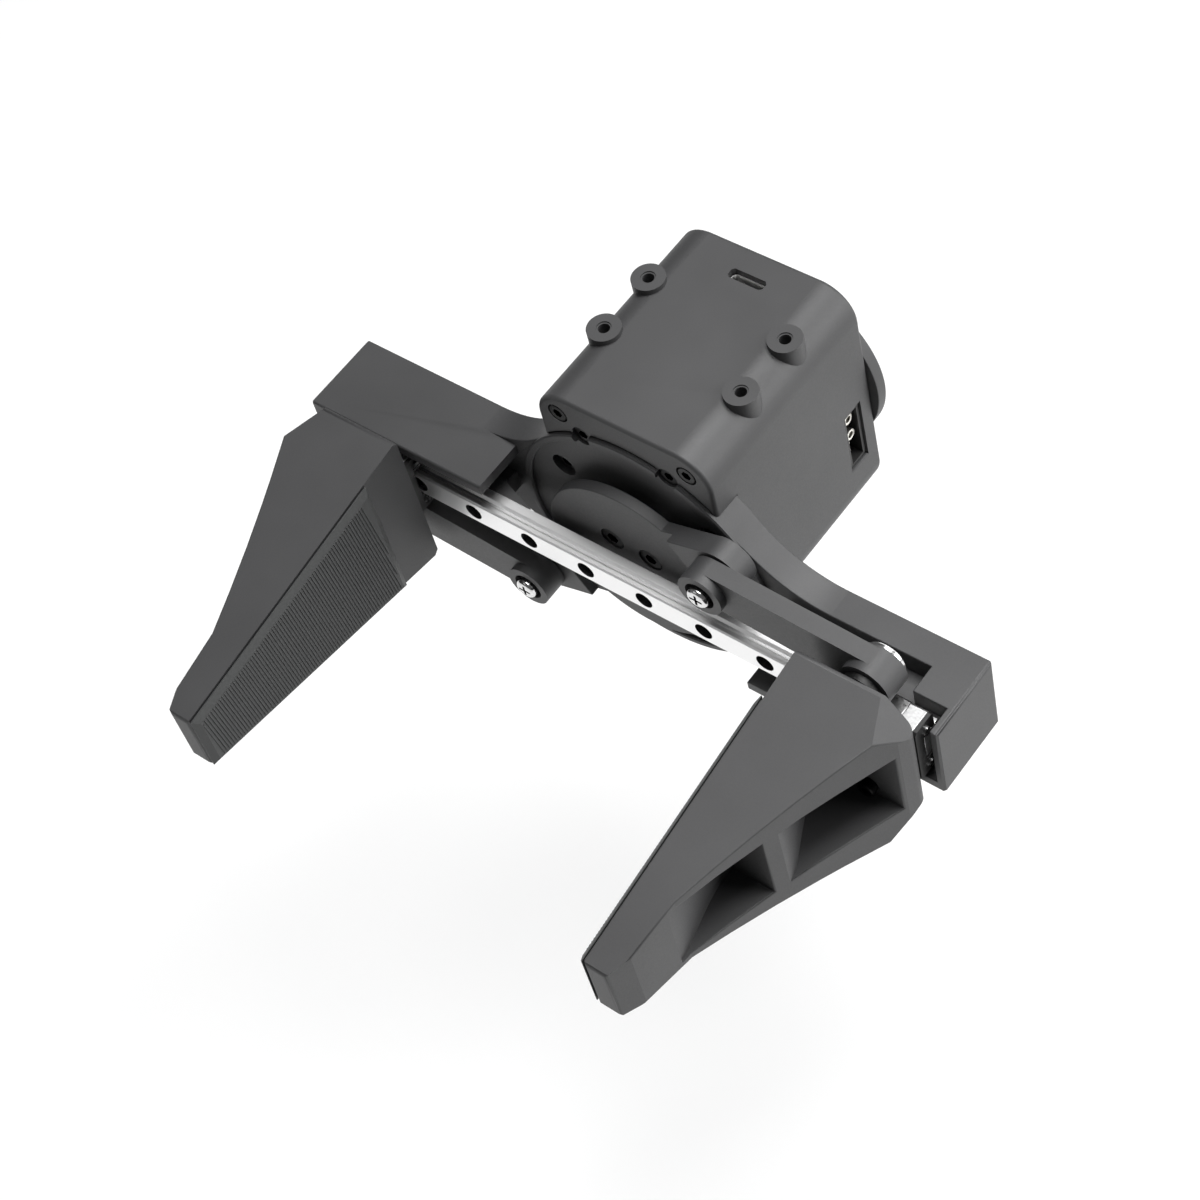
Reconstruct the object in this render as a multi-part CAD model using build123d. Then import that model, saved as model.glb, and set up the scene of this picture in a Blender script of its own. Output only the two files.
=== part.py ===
from build123d import *
import os
from math import cos, hypot, radians, sin

os.makedirs("parts", exist_ok=True)

# Two-finger parallel gripper. A geared motor turns a crank disc with two opposite arms, each arm
# drives one jaw through a link, and both jaws run on one miniature rail. All sizes are in mm.
#
# The pieces are drawn about the crank axis: X along the rail, Y from the finger tips back to the
# flange, Z up, with Y = 0 on the rail's front face. save() moves them to the flange, whose rear
# centre is the part's origin.

# Rail, a 7 mm miniature guide
rail_width = 7.0
rail_height = 4.8
rail_pitch = 15.0
rail_end_margin = 7.5
rail_bore_radius = 2.1
rail_bore_depth = 2.3
rail_hole_radius = 1.2
rail_edge = 0.35
rail_groove_front = 1.25
rail_groove_rear = 2.85
rail_groove_depth = 0.55
rail_end_clearance = 2.0
rail_screw_from = 45.0

# Carriage, the short block of that guide
carriage_length = 22.5
carriage_steel_length = 13.5
carriage_width = 17.0
carriage_stack = 8.0
carriage_lift = 1.5
carriage_play = 0.25
carriage_end_clearance = 1.75
carriage_edge = 0.5
carriage_hole_x = 8.0
carriage_hole_z = 12.0
carriage_thread_depth = 3.2
cap_inset = 0.25
cap_edge = 0.6
seal_thickness = 0.8
seal_inset = 0.5
cap_screw_z = 5.6
cap_screw_y = 0.6
cap_screw_radius = 0.6
cap_screw_head_radius = 1.05
cap_screw_head_height = 0.6
cap_screw_slot_width = 0.35
cap_screw_slot_depth = 0.3

# Crank and linkage
crank_disc_radius = 21.05
crank_disc_thickness = 2.7
crank_arm_thickness = 4.7
crank_pin_radius = 30.9
crank_rest_angle = 33.1
crank_arm_end_radius = 5.85
crank_arm_root_half_width = 10.36
crank_arm_root_at = 15.0
crank_arm_tip_half_width = 5.65
crank_arm_tip_at = 32.42
crank_pad_from = 21.8
crank_face_gap = 1.7
crank_screw_circle = 6.8
crank_screw_angle = 40.0
crank_screw_recess = 1.7
crank_screw_sunk = 0.2
crank_screw_length = 8.0
crank_thread_depth = 8.5
jaw_pin_height = 14.6
link_clearance = 0.3
link_depth = 5.9
link_bar_depth = 4.0
link_crank_eye_radius = 5.15
link_jaw_eye_radius = 5.5
link_jaw_eye_rise = 0.5

# Pins and bushes of the link
jaw_pin_shoulder_radius = 2.0
jaw_pin_head_radius = 4.3
jaw_pin_head_height = 1.4
jaw_pin_head_edge = 0.35
jaw_pin_head_gap = 0.1
jaw_pin_key_width = 2.5
jaw_pin_key_depth = 0.9
jaw_washer_inset = 1.2
jaw_pin_thread_radius = 1.5
jaw_pin_thread_length = 6.0
bush_wall = 1.0
crank_pin_screw_radius = 1.5
crank_pin_head_radius = 2.5
crank_pin_head_height = 2.85
crank_pin_head_round = 0.9
crank_pin_cross_width = 0.6
crank_pin_cross_length = 3.0
crank_pin_cross_depth = 1.2
crank_pin_thread_bite = 0.25
crank_pin_recess_radius = 3.4
crank_pin_recess_depth = 1.6
crank_pin_stop_gap = 0.3
running_gap = 0.05

# Fingers and pads
finger_inset = 13.6
finger_length = 70.7
finger_root_width = 26.6
finger_shoulder_width = 25.5
finger_shoulder_at = 5.3
finger_waist_width = 15.6
finger_waist_at = 30.3
finger_knee_width = 8.3
finger_knee_at = 52.8
finger_toe_width = 7.3
finger_toe_at = 65.5
finger_tip_width = 5.3
finger_root_half_height = 19.4
finger_tip_half_height = 7.9
finger_corner_width = 7.5
finger_corner_drop = 8.9
finger_corner_reach = 9.4
finger_corner_inset = 3.4
finger_corner_top_drop = 1.5
finger_edge = 0.5
finger_heel_round = 2.2
pocket_half_height = 9.0
pocket_one_from = 6.1
pocket_one_to = 30.6
pocket_one_floor = 7.0
pocket_two_from = 33.8
pocket_two_to = 55.3
pocket_two_floor = 4.2
pocket_straight = 2.4
pocket_run_in = 0.3
pocket_run_out = 0.18
pad_thickness = 1.9
pad_seam_width = 0.5
pad_seam_depth = 0.6
pad_from = 11.2
pad_tip_margin = 0.3
pad_side_margin = 0.15
pad_rim = 1.0

# Wing bracket
plate_radius = 31.3
plate_rim_width = 1.7
plate_rim_height = 0.8
plate_front = 11.8
plate_thickness = 6.8
wing_reach = 78.8
wing_short_side = 7.9
wing_long_side = 12.9
neck_reach_short = 46.0
neck_reach_long = 41.0
canopy_from = 31.9
canopy_thickness = 2.9
canopy_front = -0.67
canopy_round = 0.6
end_block_length = 9.5
end_block_front = 5.4
end_lip_thickness = 1.8
seat_bar_from = 34.4
seat_nose_from = 25.3
seat_nose_thickness = 0.3
seat_nose_rear = 8.0
seat_groove_front = 8.6
seat_groove_depth = 1.0
wing_edge = 0.5

# Housing and covers
housing_width = 43.0
housing_height = 60.8
housing_rise = 7.8
housing_corner = 8.0
housing_wall = 2.5
housing_front_wall = 4.0
housing_length = 39.8
cover_set_back = 0.1
cover_gap = 0.15
cover_edge = 0.9
rear_cover_thickness = 3.7
flange_radius = 23.45
flange_thickness = 3.0
flange_edge = 0.4
flange_bolt_circle = 31.5
flange_bolt_radius = 1.65
flange_bolt_count = 4
flange_pilot_radius = 10.0
flange_screw_circle = 36.5
corner_screw_inset_x = 5.6
corner_screw_inset_z = 5.2
corner_post_radius = 3.0
corner_post_length = 9.0
boss_inset = 4.7
boss_spacing_y = 14.9
boss_from_seam = 11.7
boss_radius = 3.65
boss_height = 1.2
boss_depth = 4.8
boss_thread_radius = 1.25
boss_thread_depth = 5.0
boss_spot_radius = 1.6
boss_spot_depth = 0.3

# Screw sizes: shank radius, head radius, head height, socket width across flats
small_screw = (1.25, 2.25, 2.5, 2.0)
plate_screw = (1.5, 2.75, 3.0, 2.5)
tiny_screw = (1.0, 1.9, 2.0, 1.5)
screw_fit = 0.05
head_fit = 0.15
screw_end_margin = 0.4
rear_screw_length = 8.0
flange_screw_head = 1.6
flange_screw_sunk = 0.2
rim_screw_inset = 0.42
rim_screw_angle = 69.92
rim_screw_sunk = 0.5
plate_screw_inset = 2.8
plate_screw_z = 14.6
plate_screw_sunk = 1.2
rear_screw_sunk = 0.1

# Output bearing, hub and geared motor
bearing_bore_radius = 10.0
bearing_outer_radius = 16.0
bearing_width = 6.0
bearing_lip = 2.4
hub_rear_clearance = 0.6
hub_neck_clearance = 3.5
wall_bore_land = 1.5
shaft_radius = 4.0
shaft_in_hub = 10.0
shaft_in_motor = 16.0
motor_clearance = 0.6
motor_length = 25.2
motor_cap_length = 4.0
motor_cap_step = 0.6
motor_screw_inset = 2.4
motor_screw_length = 9.0
blind_hole_margin = 0.5

# Control board and its sockets
board_thickness = 1.6
board_side_clearance = 2.0
board_low_margin = 0.4
board_top_margin = 9.7
board_tongue_half_width = 9.0
board_tongue_margin = 4.8
board_clearance = 0.6
board_post_radius = 2.0
board_post_inset = 4.4
board_post_angle = 60.0
usb_centre_x = 0.5
usb_width = 8.6
usb_slot_depth = 2.5
usb_from_seam = 3.45
usb_shell_width = 9.0
usb_shell_depth = 3.2
usb_shell_height = 7.4
usb_shell_wall = 0.3
usb_lip_below_top = 1.5
usb_slot_corner = 0.6
port_length = 16.8
port_centre_z = -0.2
port_depth = 5.7
port_socket_gap = 0.15
port_socket_back = 11.0
port_socket_recess = 0.6
port_wall = 0.8
port_cavity_depth = 7.0
port_edge = 0.4
contact_recess = 0.9
contact_bore_depth = 3.0
signal_contact_recess = 1.0
power_contact_radius = 1.35
power_contact_bore = 0.8
power_contact_pitch = 5.0
power_contact_z = 4.7
signal_contact_size = 0.7
signal_contact_pitch = 2.4
signal_contact_z = -4.0

# Places along the rail that follow from the sizes above
wall_inner = wing_reach - end_lip_thickness
rail_length = 2 * (wall_inner - rail_end_clearance)
jaw_open = wall_inner - carriage_end_clearance - carriage_length / 2
finger_inner = jaw_open - finger_inset
end_block_from = wing_reach - end_block_length

# Depths
carriage_front = rail_height - carriage_stack
carriage_rear = rail_height - carriage_lift
finger_rear = carriage_front
plate_rear = plate_front + plate_thickness
shell_front = plate_rear
shell_rear = shell_front + housing_length
cover_rear = shell_rear + rear_cover_thickness
flange_rear = cover_rear + flange_thickness
disc_front = rail_height + crank_face_gap
disc_rear = disc_front + crank_disc_thickness
arm_front = disc_rear - crank_arm_thickness
link_rear = arm_front - link_clearance
link_front = link_rear - link_depth
bar_front = link_rear - link_bar_depth
jaw_eye_rear = link_rear + link_jaw_eye_rise
motor_front = shell_front + housing_front_wall
motor_rear = motor_front + motor_length
usb_y = shell_rear - usb_from_seam
board_rear = usb_y - usb_shell_depth / 2
board_front = board_rear - board_thickness

# Places in the plane of the crank
crank_pin = (crank_pin_radius * cos(radians(crank_rest_angle)),
             crank_pin_radius * sin(radians(crank_rest_angle)))
jaw_pin = (jaw_open, jaw_pin_height)
link_length = hypot(jaw_pin[0] - crank_pin[0], jaw_pin[1] - crank_pin[1])
wing_top = wing_short_side
wing_bottom = -wing_long_side

# The housing and what sits in it
housing_top = housing_rise + housing_height / 2
housing_bottom = housing_rise - housing_height / 2
housing_side = housing_width / 2
corner_screw_x = housing_side - corner_screw_inset_x
corner_screw_z = housing_height / 2 - corner_screw_inset_z
plate_screw_x = housing_side - plate_screw_inset
rim_screw_x = (plate_radius - rim_screw_inset) * cos(radians(rim_screw_angle))
rim_screw_z = (plate_radius - rim_screw_inset) * sin(radians(rim_screw_angle))
boss_spacing_x = housing_width - 2 * boss_inset
motor_radius = min(housing_side, -housing_bottom) - housing_wall - motor_clearance
motor_screw_circle = motor_radius - motor_screw_inset
wall_bore_radius = motor_screw_circle - small_screw[1] - head_fit - wall_bore_land
hub_neck_radius = wall_bore_radius - hub_neck_clearance
board_post_circle = motor_radius - board_post_inset
board_half_width = housing_side - housing_wall - board_side_clearance
board_low = board_low_margin - board_post_circle
board_high = housing_top - board_top_margin
board_tongue_high = housing_top - board_tongue_margin


def slab(face, y0, y1):
    """Extrude a face drawn in X and Z from depth y0 to depth y1."""
    return extrude(Plane.XZ.offset(-y1) * face, amount=y1 - y0)


def rod(x, z, radius, y0, y1):
    """Round bar along Y."""
    return slab(Pos(x, z) * Circle(radius), y0, y1)


def block(x0, x1, y0, y1, z0, z1):
    """Box between two corners."""
    return Pos((x0 + x1) / 2, (y0 + y1) / 2, (z0 + z1) / 2) * Box(x1 - x0, y1 - y0, z1 - z0)


def polygon(points):
    """Closed face through points."""
    return make_face(Polyline(*points, close=True))


def half_turn(shape):
    """The same piece on the other side of the crank axis."""
    return Rot(0, 180, 0) * shape


def merged(shapes):
    """One solid from touching shapes."""
    total = shapes[0]
    for shape in shapes[1:]:
        total = total + shape
    return total


def save(name, shapes):
    """Write one node; separate pieces of one kind stay separate solids."""
    place = Pos(0, -flange_rear, -housing_rise)
    solids = []
    for shape in shapes:
        solids.extend((place * shape).solids())
    group = Compound(children=solids) if len(solids) > 1 else solids[0]
    export_step(group, f"parts/{name}.step")


def socket_screw(size, x, z, seat, length, facing=-1):
    """Cap screw along Y. Its head lies before the seat, towards facing."""
    shank_radius, head_radius, head_height, across = size
    tip = seat - facing * length
    crown = seat + facing * head_height
    body = rod(x, z, shank_radius, min(seat, tip), max(seat, tip))
    head = rod(x, z, head_radius, min(seat, crown), max(seat, crown))
    rim = head.faces().sort_by(Axis.Y)[0 if facing < 0 else -1].edges()
    head = chamfer(rim, head_height * 0.12)
    floor = crown - facing * head_height * 0.6
    key = slab(Pos(x, z) * RegularPolygon(across / 2, 6, major_radius=False),
               min(floor, crown), max(floor, crown))
    return merged([body, head]) - key


def screw_hole(size, x, z, y0, y1):
    """Hole for a screw's shank."""
    return rod(x, z, size[0] + screw_fit, y0, y1)


def head_hole(size, x, z, y0, y1):
    """Counterbore for a screw's head."""
    return rod(x, z, size[1] + head_fit, y0, y1)


def corners(x, z, centre_z=0.0):
    """Four points of a rectangle."""
    return [(sx * x, centre_z + sz * z) for sx in (-1, 1) for sz in (-1, 1)]


def circle_points(radius, count, start, centre_z=0.0):
    """Points spread evenly round a circle."""
    step = 360.0 / count
    turns = [radians(start + step * i) for i in range(count)]
    return [(radius * cos(a), centre_z + radius * sin(a)) for a in turns]


# Rail and its screws
def rail_places():
    count = int(round((rail_length - 2 * rail_end_margin) / rail_pitch)) + 1
    first = -rail_pitch * (count - 1) / 2
    return [first + rail_pitch * i for i in range(count)]


def make_rail():
    half = rail_width / 2
    inner = half - rail_groove_depth
    upper = [(0, half - rail_edge), (rail_edge, half), (rail_groove_front, half),
             (rail_groove_front + rail_groove_depth, inner),
             (rail_groove_rear - rail_groove_depth, inner), (rail_groove_rear, half),
             (rail_height, half)]
    lower = [(y, -z) for y, z in reversed(upper)]
    rail = extrude(Plane.YZ * polygon(upper + lower), amount=rail_length / 2, both=True)
    for x in rail_places():
        rail -= rod(x, 0, rail_hole_radius, 0, rail_height)
        rail -= rod(x, 0, rail_bore_radius, 0, rail_bore_depth)
    return rail


rail_screw_places = [x for x in rail_places() if abs(x) > rail_screw_from]
rail_screw_length = plate_front - rail_bore_depth
rail_screws = [socket_screw(tiny_screw, x, 0, rail_bore_depth, rail_screw_length)
               for x in rail_screw_places]


# Carriage with its end caps
def channel(play, x0, x1):
    half = rail_width / 2 + play
    return block(x0, x1, -play, carriage_stack, -half, half)


def make_carriage():
    half_length = carriage_steel_length / 2
    half_width = carriage_width / 2
    body = block(-half_length, half_length, carriage_front, carriage_rear, -half_width, half_width)
    body = chamfer(body.edges().filter_by(Axis.X), carriage_edge)
    body -= channel(carriage_play, -half_length, half_length)
    for x, z in corners(carriage_hole_x / 2, carriage_hole_z / 2):
        body -= rod(x, z, tiny_screw[0] + screw_fit, carriage_front,
                    carriage_front + carriage_thread_depth)
    return Pos(jaw_open, 0, 0) * body


def end_plates(x_from, x_to, inset, hole_radius):
    """Plates across both ends of the carriage, between two distances from its middle."""
    plates = []
    half_width = carriage_width / 2 - inset
    for side in (-1, 1):
        x0 = min(side * x_from, side * x_to)
        x1 = max(side * x_from, side * x_to)
        plate = block(x0, x1, carriage_front + inset, carriage_rear, -half_width, half_width)
        plate = chamfer(plate.edges().filter_by(Axis.X), cap_edge)
        plate -= channel(carriage_play, x0, x1)
        for z in (-cap_screw_z, cap_screw_z):
            plate -= Pos((x0 + x1) / 2, cap_screw_y, z) * Rot(0, 90, 0) * Cylinder(
                hole_radius, x_to - x_from)
        plates.append(Pos(jaw_open, 0, 0) * plate)
    return plates


def make_caps():
    return end_plates(carriage_steel_length / 2, carriage_length / 2 - seal_thickness, cap_inset,
                      cap_screw_radius + screw_fit)


def make_seals():
    return end_plates(carriage_length / 2 - seal_thickness, carriage_length / 2, seal_inset,
                      cap_screw_radius + screw_fit)


def make_cap_screws():
    screws = []
    length = (carriage_length - carriage_steel_length) / 2
    height = cap_screw_head_height
    for side in (-1, 1):
        for z in (-cap_screw_z, cap_screw_z):
            end = side * carriage_length / 2
            crown = end + side * height
            shank = Pos(end - side * length / 2, cap_screw_y, z) * Rot(0, 90, 0) * Cylinder(
                cap_screw_radius, length)
            head = Pos(end + side * height / 2, cap_screw_y, z) * Rot(0, 90, 0) * Cylinder(
                cap_screw_head_radius, height)
            slot = Pos(crown, cap_screw_y, z) * Box(
                2 * cap_screw_slot_depth, 3 * cap_screw_head_radius, cap_screw_slot_width)
            screws.append(Pos(jaw_open, 0, 0) * (shank + head - slot))
    return screws


# Finger, pad and their fastenings
def finger_half_height(distance):
    """Half height of the finger at a distance from its rear face."""
    drop = finger_root_half_height - finger_tip_half_height
    return finger_root_half_height - drop * distance / finger_length


def finger_point(width, distance):
    return (finger_inner + width, finger_rear - distance)


def finger_outer_width(distance):
    """Width of the outer curve, between its shoulder, waist and knee, by parabola."""
    ys = (finger_shoulder_at, finger_waist_at, finger_knee_at)
    xs = (finger_shoulder_width, finger_waist_width, finger_knee_width)
    total = 0.0
    for i in range(3):
        term = xs[i]
        for j in range(3):
            if j != i:
                term *= (distance - ys[j]) / (ys[i] - ys[j])
        total += term
    return total


def pocket(start, end, floor):
    """Cutter for a pocket whose floor curves up and runs out into the outer side."""
    reach = finger_root_width + 4.0
    from_wall = start + pocket_straight
    run = end - from_wall
    exit_width = finger_outer_width(end)
    lines = Curve() + [
        Line(finger_point(reach, start), finger_point(floor, start)),
        Line(finger_point(floor, start), finger_point(floor, from_wall)),
        Bezier(finger_point(floor, from_wall),
               finger_point(floor, from_wall + run * pocket_run_in),
               finger_point(exit_width, end - run * pocket_run_out),
               finger_point(exit_width, end)),
        Line(finger_point(exit_width, end), finger_point(reach, end)),
        Line(finger_point(reach, end), finger_point(reach, start)),
    ]
    return extrude(make_face(lines), amount=pocket_half_height, both=True)


def make_finger():
    outline = Curve() + [
        Line(finger_point(0, 0), finger_point(finger_root_width, 0)),
        Line(finger_point(finger_root_width, 0),
             finger_point(finger_shoulder_width, finger_shoulder_at)),
        ThreePointArc(finger_point(finger_shoulder_width, finger_shoulder_at),
                      finger_point(finger_waist_width, finger_waist_at),
                      finger_point(finger_knee_width, finger_knee_at)),
        Line(finger_point(finger_knee_width, finger_knee_at),
             finger_point(finger_toe_width, finger_toe_at)),
        Line(finger_point(finger_toe_width, finger_toe_at),
             finger_point(finger_tip_width, finger_length)),
        Line(finger_point(finger_tip_width, finger_length), finger_point(0, finger_length)),
        Line(finger_point(0, finger_length), finger_point(0, 0)),
    ]
    face = make_face(outline)
    heel = [v for v in face.vertices()
            if v.X > finger_inner + finger_root_width - 0.01 and v.Y > finger_rear - 0.01]
    face = fillet(heel, finger_heel_round)
    body = extrude(face, amount=finger_root_half_height, both=True)
    taper = polygon([(finger_rear, finger_root_half_height),
                     (finger_rear - finger_length, finger_tip_half_height),
                     (finger_rear - finger_length, -finger_tip_half_height),
                     (finger_rear, -finger_root_half_height)])
    wide = finger_inner + finger_root_width
    body = body & extrude(Plane.YZ * taper, amount=wide)
    outer = finger_inner + finger_root_width
    for side in (-1, 1):
        a = Vector(outer - finger_corner_width, finger_rear, side * finger_root_half_height)
        b = Vector(outer, finger_rear, side * (finger_root_half_height - finger_corner_drop))
        c = Vector(outer - finger_corner_inset, finger_rear - finger_corner_reach,
                   side * (finger_root_half_height - finger_corner_top_drop))
        normal = (b - a).cross(c - a)
        if normal.X < 0:
            normal = normal * -1
        body -= Plane(origin=a, z_dir=normal) * Box(
            finger_length, finger_length, finger_root_width,
            align=(Align.CENTER, Align.CENTER, Align.MIN))
    body = chamfer(body.edges().filter_by(GeomType.LINE).filter_by(
        lambda e: e.center().Y < finger_rear - finger_length + finger_edge / 2), finger_edge)
    body -= pocket(pocket_one_from, pocket_one_to, pocket_one_floor)
    body -= pocket(pocket_two_from, pocket_two_to, pocket_two_floor)
    for x, z in corners(carriage_hole_x / 2, carriage_hole_z / 2):
        body -= screw_hole(tiny_screw, jaw_open + x, z, finger_rear - pocket_one_from, finger_rear)
    body -= rod(jaw_pin[0], jaw_pin[1], jaw_pin_thread_radius + screw_fit,
                finger_rear - jaw_pin_thread_length - blind_hole_margin, finger_rear)
    return body


def pad_face(margin):
    """Outline of the pad, set in by a margin all round."""
    start = pad_from + margin
    end = finger_length - pad_tip_margin - margin
    high = finger_half_height(start) - pad_side_margin - margin
    low = finger_half_height(end) - pad_side_margin - margin
    return polygon([(finger_rear - start, high), (finger_rear - end, low),
                    (finger_rear - end, -low), (finger_rear - start, -high)])


def make_pad():
    """Pad with a bevelled rim, on a narrower layer that leaves a seam along the finger."""
    front = finger_inner - pad_thickness
    plate = extrude(Plane.YZ.offset(front) * pad_face(0.0),
                    amount=pad_thickness - pad_seam_width)
    plate = chamfer(plate.faces().sort_by(Axis.X)[0].edges(), pad_rim)
    return plate + extrude(Plane.YZ.offset(finger_inner - pad_seam_width) * pad_face(
        pad_seam_depth), amount=pad_seam_width)


def make_finger_screws():
    seat = finger_rear - pocket_one_from
    length = pocket_one_from + carriage_thread_depth - screw_end_margin
    return [socket_screw(tiny_screw, jaw_open + x, z, seat, length)
            for x, z in corners(carriage_hole_x / 2, carriage_hole_z / 2)]


def make_jaw_pin():
    x, z = jaw_pin
    head_front = jaw_eye_rear + jaw_pin_head_gap
    head = rod(x, z, jaw_pin_head_radius, head_front, head_front + jaw_pin_head_height)
    head = chamfer(head.faces().sort_by(Axis.Y)[-1].edges(), jaw_pin_head_edge)
    shoulder = rod(x, z, jaw_pin_shoulder_radius, finger_rear, head_front)
    thread = rod(x, z, jaw_pin_thread_radius, finger_rear - jaw_pin_thread_length, finger_rear)
    crown = head_front + jaw_pin_head_height
    key = slab(Pos(x, z) * RegularPolygon(jaw_pin_key_width / 2, 6, major_radius=False),
               crown - jaw_pin_key_depth, crown)
    return merged([thread, shoulder, head]) - key


def make_jaw_washer():
    x, z = jaw_pin
    rear = link_front - jaw_pin_head_gap
    ring = rod(x, z, link_jaw_eye_radius - jaw_washer_inset, finger_rear, rear)
    return ring - rod(x, z, jaw_pin_shoulder_radius + screw_fit, finger_rear, rear)


# Link with its bushes and crank-pin screw, drawn in the plane of the crank
def along_link(distance, height):
    """Point at a distance from the jaw pin towards the crank pin, and a height above that line."""
    ux = (crank_pin[0] - jaw_pin[0]) / link_length
    uz = (crank_pin[1] - jaw_pin[1]) / link_length
    return (jaw_pin[0] + distance * ux + height * uz, jaw_pin[1] + distance * uz - height * ux)


def make_link():
    """Flat bar whose edges run tangent to both eyes, which stand out towards the fingers."""
    lean = (link_jaw_eye_radius - link_crank_eye_radius) / link_length
    rise = (1 - lean ** 2) ** 0.5
    touches = [(lean * link_jaw_eye_radius, rise * link_jaw_eye_radius),
               (link_length + lean * link_crank_eye_radius, rise * link_crank_eye_radius)]
    bar = polygon([along_link(d, h) for d, h in touches]
                  + [along_link(d, -h) for d, h in reversed(touches)])
    link = slab(bar, bar_front, link_rear)
    x, z = jaw_pin
    link += rod(x, z, link_jaw_eye_radius, link_front, jaw_eye_rear)
    link -= rod(x, z, jaw_pin_shoulder_radius + running_gap + bush_wall, link_front, jaw_eye_rear)
    x, z = crank_pin
    link += rod(x, z, link_crank_eye_radius, link_front, link_rear)
    link -= rod(x, z, crank_pin_recess_radius, link_front, link_front + crank_pin_recess_depth)
    link -= rod(x, z, crank_pin_screw_radius + screw_fit + bush_wall, link_front, link_rear)
    return link


def make_bushes():
    x, z = jaw_pin
    bore = jaw_pin_shoulder_radius + running_gap
    first = rod(x, z, bore + bush_wall, link_front, jaw_eye_rear) - rod(
        x, z, bore, link_front, jaw_eye_rear)
    x, z = crank_pin
    bore = crank_pin_screw_radius + screw_fit
    front = link_front + crank_pin_recess_depth
    second = rod(x, z, bore + bush_wall, front, link_rear) - rod(x, z, bore, front, link_rear)
    return [first, second]


def make_crank_pin_screw():
    x, z = crank_pin
    seat = link_front + crank_pin_recess_depth
    crown = seat - crank_pin_head_height
    shank_end = arm_front - crank_pin_stop_gap
    head = rod(x, z, crank_pin_head_radius, crown, seat)
    head = fillet(head.faces().sort_by(Axis.Y)[0].edges(), crank_pin_head_round)
    cross = Pos(x, z) * (Rectangle(crank_pin_cross_length, crank_pin_cross_width)
                         + Rectangle(crank_pin_cross_width, crank_pin_cross_length))
    return merged([rod(x, z, crank_pin_screw_radius, seat, shank_end), head]) - slab(
        cross, crown, crown + crank_pin_cross_depth)


# Crank disc, hub and shaft
def make_crank():
    arm = polygon([(crank_arm_root_at, -crank_arm_root_half_width),
                   (crank_arm_tip_at, -crank_arm_tip_half_width),
                   (crank_arm_tip_at, crank_arm_tip_half_width),
                   (crank_arm_root_at, crank_arm_root_half_width)])
    arm = arm + Pos(crank_pin_radius, 0) * Circle(crank_arm_end_radius)
    reach = crank_pin_radius + crank_arm_end_radius
    raised = arm & Pos((crank_pad_from + reach) / 2, 0) * Rectangle(
        reach - crank_pad_from, 4 * crank_arm_end_radius)
    crank = slab(Circle(crank_disc_radius), disc_front, disc_rear)
    for turn in (crank_rest_angle, crank_rest_angle + 180.0):
        crank += slab(Rot(0, 0, turn) * arm, disc_front, disc_rear)
        crank += slab(Rot(0, 0, turn) * raised, arm_front, disc_front)
    for x, z in circle_points(crank_pin_radius, 2, crank_rest_angle):
        crank -= rod(x, z, crank_pin_screw_radius - crank_pin_thread_bite, arm_front, disc_rear)
    for x, z in circle_points(crank_screw_circle, 4, crank_screw_angle):
        crank -= screw_hole(plate_screw, x, z, disc_front, disc_rear)
        crank -= head_hole(plate_screw, x, z, disc_front, disc_front + crank_screw_recess)
    return crank


hub_rear = motor_front - hub_rear_clearance
crank_screw_size = (plate_screw[0], plate_screw[1], crank_screw_recess - crank_screw_sunk,
                    plate_screw[3])


def make_hub():
    hub = rod(0, 0, bearing_bore_radius - running_gap, disc_rear, plate_rear)
    hub += rod(0, 0, hub_neck_radius, plate_rear, hub_rear)
    hub -= rod(0, 0, shaft_radius, hub_rear - shaft_in_hub, hub_rear)
    for x, z in circle_points(crank_screw_circle, 4, crank_screw_angle):
        hub -= screw_hole(plate_screw, x, z, disc_rear, disc_rear + crank_thread_depth)
    return hub


def make_bearing():
    rear = plate_rear
    front = rear - bearing_width
    ring = rod(0, 0, bearing_outer_radius, front, rear)
    return ring - rod(0, 0, bearing_bore_radius, front, rear)


def make_motor():
    body = rod(0, 0, motor_radius, motor_front, motor_rear - motor_cap_length)
    cap = rod(0, 0, motor_radius - motor_cap_step, motor_rear - motor_cap_length, motor_rear)
    motor = body + cap
    motor -= rod(0, 0, shaft_radius + running_gap, motor_front,
                 motor_front + shaft_in_motor + blind_hole_margin)
    for x, z in circle_points(motor_screw_circle, 4, 0.0):
        motor -= screw_hole(small_screw, x, z, motor_front,
                            motor_front + motor_screw_length - housing_front_wall
                            + blind_hole_margin)
    return motor


# Wing bracket
def neck(top, reach):
    """Fillet between the round plate and a wing's edge."""
    radius = (reach ** 2 + top ** 2 - plate_radius ** 2) / (2 * (plate_radius - top))
    centre = (reach, top + radius)
    span = hypot(*centre)
    touch = (plate_radius * centre[0] / span, plate_radius * centre[1] / span)
    return polygon([(0, 0), (reach, top), touch]) - Pos(*centre) * Circle(radius)


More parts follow.
